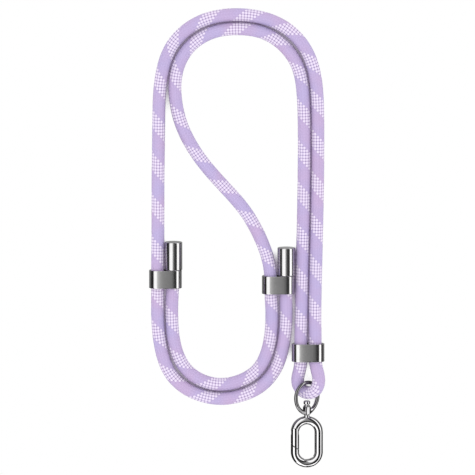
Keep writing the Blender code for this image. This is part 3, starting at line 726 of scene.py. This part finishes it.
def plating_group():
    """Plated metal: hairline marks along the strap, and edges rubbed a little paler."""
    tree, given, result = new_group(
        "plating",
        [("Color", "Color", (0.5, 0.5, 0.5, 1)), ("Roughness", "Float", 0.1), ("Marks", "Float", 0.05)],
        [("Color", "Color"), ("Roughness", "Float"), ("Height", "Float")])
    where = add_node(tree, "TexCoord").outputs["Object"]
    drawn = add_node(tree, "Mapping", {"Vector": where, "Scale": (1500, 90, 1500)}).outputs["Vector"]
    hairs = add_node(tree, "TexNoise", {"Vector": drawn, "Scale": 1.0, "Detail": 2.0}).outputs["Fac"]
    marks = maths(tree, "MULTIPLY", hairs, given["Marks"])
    bare = add_node(tree, "NewGeometry").outputs["Pointiness"]
    edge = add_node(tree, "MapRange", {"Value": bare, "From Min": 0.56, "From Max": 0.68}).outputs["Result"]
    rubbed = maths(tree, "MULTIPLY", edge, 0.35)
    tree.links.new(blend(tree, rubbed, given["Color"], RUBBED), result["Color"])
    tree.links.new(maths(tree, "ADD", given["Roughness"], marks), result["Roughness"])
    tree.links.new(hairs, result["Height"])
    return tree


def braid_group():
    """The braid's cells from the braid map, where one unit is one cell: slanted yarns and square flecks.

    A yarn leans one way in even columns and the other way in odd ones. A cell has a fleck where its
    column and row add up to one of the first few of every PATCH_ROWS. The cells' corners within a
    patch are marked for painted shade between the flecks.
    """
    tree, given, result = new_group(
        "braid_cells",
        [("Braid Map", "Vector", None), ("Fleck Rows", "Float", float(FLECK_ROWS)),
         ("Fleck Size", "Float", 0.34)],
        [("Height", "Float"), ("Fleck", "Float"), ("Gap Shade", "Float"), ("Twist", "Float")])
    parts = add_node(tree, "SeparateXYZ", {"Vector": given["Braid Map"]})
    u, v = parts.outputs["X"], parts.outputs["Y"]
    column, row = maths(tree, "FLOOR", u), maths(tree, "FLOOR", v)
    across = maths(tree, "SUBTRACT", maths(tree, "FRACT", u), 0.5)
    along = maths(tree, "SUBTRACT", maths(tree, "FRACT", v), 0.5)
    from_side, from_end = maths(tree, "ABSOLUTE", across), maths(tree, "ABSOLUTE", along)
    odd = maths(tree, "FLOORED_MODULO", column, 2.0)
    lean = maths(tree, "SUBTRACT", maths(tree, "MULTIPLY", odd, 1.6), 0.8)
    slanted = maths(tree, "MULTIPLY_ADD", across, lean, v)
    in_yarn = maths(tree, "ABSOLUTE", maths(tree, "SUBTRACT", maths(tree, "FRACT", slanted), 0.5))
    yarn = maths(tree, "SUBTRACT", 1.0, maths(tree, "POWER", maths(tree, "MULTIPLY", in_yarn, 2.0), 3.0))
    rib = maths(tree, "SUBTRACT", 1.0, maths(tree, "POWER", maths(tree, "MULTIPLY", from_side, 2.0), 4.0))
    square = soft_step(tree, maths(tree, "MAXIMUM", from_side, from_end), given["Fleck Size"],
                       maths(tree, "ADD", given["Fleck Size"], 0.07))
    turn = maths(tree, "FLOORED_MODULO", maths(tree, "ADD", column, row), float(PATCH_ROWS))
    patch = maths(tree, "LESS_THAN", turn, given["Fleck Rows"])
    from_both = maths(tree, "MINIMUM", from_side, from_end)
    corner = maths(tree, "SUBTRACT", 1.0, soft_step(tree, from_both, 0.2, 0.4))
    tree.links.new(maths(tree, "MULTIPLY", yarn, rib), result["Height"])
    tree.links.new(maths(tree, "MULTIPLY", square, patch), result["Fleck"])
    tree.links.new(maths(tree, "MULTIPLY", corner, patch), result["Gap Shade"])
    tree.links.new(slanted, result["Twist"])
    return tree


def new_material(name, **constants):
    """A material with a Principled shader and its constant settings: its tree and the shader."""
    material = bpy.data.materials.new(name)
    material.use_nodes = True
    shader = material.node_tree.nodes["Principled BSDF"]
    for label, value in constants.items():
        shader.inputs[label.replace("_", " ").title().replace("Ior", "IOR")].default_value = value
    return material, material.node_tree, shader


def lilac_braid(drift, cells):
    """Satin lilac yarn with near-white flecks, faint yarn relief and slow pinker and bluer stretches. Painted
    shade darkens the yarn valleys and the gaps between flecks.
    """
    material, tree, shader = new_material("lilac_braid", roughness=0.62, sheen_weight=0.12,
                                          sheen_roughness=0.4, specular_ior_level=0.3)
    where = add_node(tree, "UVMap", uv_map="braid").outputs["UV"]
    cell = use_group(tree, cells, {"Braid Map": where})
    dye = use_group(tree, drift, {"First Color": PINKER_LILAC, "Second Color": BLUER_LILAC,
                                  "Clouds Per Metre": 55.0})
    # painted shade: the colour darkens where the yarn relief is low
    valley_shade = maths(tree, "MULTIPLY", maths(tree, "SUBTRACT", 1.0, cell["Height"]), 0.2)
    color = blend(tree, valley_shade, dye["Color"], YARN_VALLEY_SHADE)
    # painted shade: the cells' corners between flecks are darkened
    color = blend(tree, maths(tree, "MULTIPLY", cell["Gap Shade"], 0.8), color, FLECK_GAP_SHADE)
    color = blend(tree, cell["Fleck"], color, FLECK)
    fibres = add_node(tree, "CombineXYZ", {"X": maths(tree, "MULTIPLY", cell["Twist"], 14.0), "Y": where})
    fine = add_node(tree, "TexNoise", {"Vector": fibres.outputs["Vector"], "Scale": 1.0, "Detail": 2.0})
    height = maths(tree, "MULTIPLY_ADD", fine.outputs["Fac"], 0.25, cell["Height"])
    bump = add_node(tree, "Bump", {"Height": height, "Strength": 0.35, "Distance": 0.12 * MM})
    tree.links.new(color, shader.inputs["Base Color"])
    tree.links.new(bump.outputs["Normal"], shader.inputs["Normal"])
    return material


def painted_wire_shade(tree, color):
    """Painted shade: the bail ring's wire and most of its barrel are darkened, all but a spot on the barrel's
    right half, which keeps the plate's full colour.
    """
    half_length = (1.0, 0.5, 1.0)
    where = add_node(tree, "VectorMath", {0: add_node(tree, "TexCoord").outputs["Object"], 1: half_length},
                     operation="MULTIPLY").outputs["Vector"]
    bright_at = on_swivel((1.4 * MM, -(BARREL_TOP + BARREL_END) / 2, 0)) * half_length
    away = add_node(tree, "VectorMath", {0: where, 1: tuple(bright_at)}, operation="DISTANCE")
    shaded = blend(tree, 1.0, color, WIRE_SHADE, "MULTIPLY")
    return blend(tree, soft_step(tree, away.outputs["Value"], 2.0 * MM, 2.9 * MM), shaded, color)


def painted_seam_shade(tree, color):
    """Painted shade: near-black colour within a hair of the slanted plane between the gate and the clip's
    lower end, for the seam's shaded gap.
    """
    where = add_node(tree, "TexCoord").outputs["Object"]
    down = SEAM_DOWN + SEAM_GAP / (2 * math.cos(SEAM_SLOPE))
    middle = on_swivel(HINGE - (0, down, 0))
    facing = on_swivel((math.sin(SEAM_SLOPE), math.cos(SEAM_SLOPE), 0)) - RING_CENTRE
    off = add_node(tree, "VectorMath", {0: where, 1: tuple(middle)}, operation="SUBTRACT").outputs["Vector"]
    gap = add_node(tree, "VectorMath", {0: off, 1: tuple(facing)}, operation="DOT_PRODUCT").outputs["Value"]
    # painted shade: near-black within a hair of the seam
    near = soft_step(tree, maths(tree, "ABSOLUTE", gap), SEAM_GAP / 2 + 0.12 * MM, SEAM_GAP / 2 + 0.2 * MM)
    on_left = maths(tree, "LESS_THAN", add_node(tree, "SeparateXYZ", {"Vector": where}).outputs["X"],
                    float(RING_CENTRE[0] - 3 * MM))
    return blend(tree, maths(tree, "MULTIPLY", near, on_left), color, SEAM_SHADE)


def plated(name, drift, plating, tones, roughness, marks, painted_shade=None):
    """Plated metal in two near tones; the last argument, when given, darkens its colour over parts of the
    piece as painted shade.
    """
    material, tree, shader = new_material(name, metallic=1.0)
    tone = use_group(tree, drift, {"First Color": tones[0], "Second Color": tones[1],
                                   "Clouds Per Metre": 90.0})
    finish = use_group(tree, plating, {"Color": tone["Color"], "Roughness": roughness, "Marks": marks})
    bump = add_node(tree, "Bump", {"Height": finish["Height"], "Strength": 0.03, "Distance": 0.02 * MM})
    color = painted_shade(tree, finish["Color"]) if painted_shade else finish["Color"]
    tree.links.new(color, shader.inputs["Base Color"])
    tree.links.new(finish["Roughness"], shader.inputs["Roughness"])
    tree.links.new(bump.outputs["Normal"], shader.inputs["Normal"])
    return material


def lay_floor():
    """A pale floor that the camera sees white, but for the closest gaps where hardly any light gets in."""
    size = 4.0
    mesh = bpy.data.meshes.new("floor")
    corners = [(-size, -size, 0), (size, -size, 0), (size, size, 0), (-size, size, 0)]
    mesh.from_pydata(corners, [], [(0, 1, 2, 3)])
    floor = bpy.data.objects.new("floor", mesh)
    floor.location = (0, 0, -0.05 * MM)
    floor.visible_glossy = False
    material, tree, shader = new_material("pale_floor", roughness=0.9, specular_ior_level=0.0,
                                          base_color=(0.9, 0.9, 0.9, 1))
    open_sky = add_node(tree, "AmbientOcclusion", {"Distance": 8 * MM}, samples=24).outputs["AO"]
    # painted shade: the floor's white darkens where ambient occlusion finds little open sky
    gap_shade = soft_step(tree, open_sky, *FLOOR_SHADE)
    white = add_node(tree, "Emission", {"Color": blend(tree, gap_shade, WHITE, FLOOR_GAP_SHADE)})
    seen = add_node(tree, "LightPath").outputs["Is Camera Ray"]
    surface = add_node(tree, "MixShader", {0: seen, 1: shader.outputs[0], 2: white.outputs[0]})
    tree.links.new(surface.outputs[0], tree.nodes["Material Output"].inputs["Surface"])
    mesh.materials.append(material)
    bpy.context.scene.collection.objects.link(floor)


def bright_bands(tree, across, bands, brightest):
    """The bands' brightness over a full turn, as a share of the brightest, for a factor that counts turns."""
    ramp = add_node(tree, "ValToRGB", {"Fac": across})
    elements = ramp.color_ramp.elements
    while len(elements) < len(bands):
        elements.new(0.5)
    for element, (degrees, level) in zip(elements, bands):
        element.position = (degrees + 180) / 360
        element.color = (*[level / brightest] * 3, 1)
    return ramp.outputs["Color"]


def light_studio():
    """Soft even light, and for the metal to mirror, long pale and dark panels on both sides of the strap.

    What is mirrored depends on the direction's angle from straight up towards +X, in one way for nearly
    level pieces and in another for those that lean towards -Y, up to one more pale panel.
    """
    world = bpy.data.worlds.new("studio")
    bpy.context.scene.world = world
    world.use_nodes = True
    tree = world.node_tree
    parts = add_node(tree, "SeparateXYZ", {"Vector": add_node(tree, "TexCoord").outputs["Generated"]})
    angle = maths(tree, "ARCTAN2", parts.outputs["X"], parts.outputs["Z"])
    across = maths(tree, "MULTIPLY_ADD", angle, 0.5 / math.pi, 0.5)
    brightest = max(level for _, level in MIRRORED + MIRRORED_DOWN)
    level = bright_bands(tree, across, MIRRORED, brightest)
    level_down = bright_bands(tree, across, MIRRORED_DOWN, brightest)
    down = maths(tree, "MULTIPLY", parts.outputs["Y"], -1.0)
    off_panel = maths(tree, "ABSOLUTE", maths(tree, "SUBTRACT", down, DOWN_PANEL))
    lit = soft_step(tree, off_panel, 0.06, 0.08)
    lit = maths(tree, "MULTIPLY", lit, maths(tree, "GREATER_THAN", parts.outputs["Z"], 0.0))
    bands = blend(tree, soft_step(tree, down, DOWN_FROM - 0.01, DOWN_FROM + 0.01), level_down, level)
    panels = blend(tree, lit, bands, WHITE)
    mirrored = add_node(tree, "Background", {"Color": panels, "Strength": brightest})
    even = add_node(tree, "Background", {"Color": WHITE, "Strength": EVEN_LIGHT})
    glossy = add_node(tree, "LightPath").outputs["Is Glossy Ray"]
    surface = add_node(tree, "MixShader", {0: glossy, 1: even.outputs[0], 2: mirrored.outputs[0]})
    tree.links.new(surface.outputs[0], tree.nodes["World Output"].inputs["Surface"])


put_camera()
bpy.context.scene.view_settings.view_transform = "Standard"
slow_drift = slow_drift_group()
plating = plating_group()
dark_plate = plated("gunmetal_plate", slow_drift, plating, DARK_PLATE, 0.09, 0.06)
# the bail ring's material has painted shade over its wire
ring_plate = plated("bail_ring_plate", slow_drift, plating, RING_PLATE, 0.04, 0.02, painted_wire_shade)
# the clip's material has painted shade along the seam
bright_plate = plated("polished_gunmetal_plate", slow_drift, plating, BRIGHT_PLATE, 0.04, 0.02, painted_seam_shade)
make_rope(lilac_braid(slow_drift, braid_group()))
for name, at in COLLARS_AT.items():
    make_collar(name, at, dark_plate)
for name, collar in CAPS_ON.items():
    make_end_cap(name, COLLARS_AT[collar], dark_plate)
make_bail_ring(ring_plate)
make_clip(bright_plate)
make_gate(bright_plate)
lay_floor()
light_studio()
